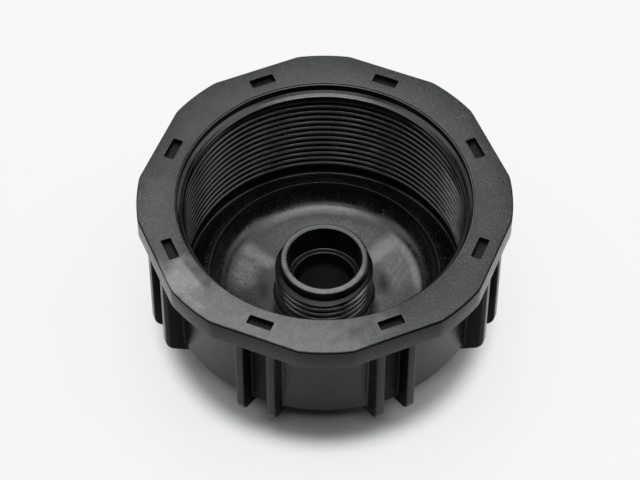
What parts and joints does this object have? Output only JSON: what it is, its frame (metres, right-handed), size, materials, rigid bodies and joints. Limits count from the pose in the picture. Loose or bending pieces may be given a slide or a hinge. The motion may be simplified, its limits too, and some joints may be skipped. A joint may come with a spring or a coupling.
{
  "type": "threaded connector",
  "caption": "Round ribbed pipe connector with a wide internally threaded mouth, a lobed flange and a small male-threaded spigot standing on its bowl-like floor.",
  "frame": {"origin": "centre of the foot on the surface that the part stands on", "axes": "+Z along the common thread axis, out of the large mouth; -Y towards the viewer of the picture, through the middle of a lobe of the flange"},
  "size_m": [0.1, 0.1, 0.0455],
  "materials": {
    "body_plastic": "satin, moulded"
  },
  "bodies": {
    "root": {"connector_body": "body_plastic"}
  },
  "joints": []
}
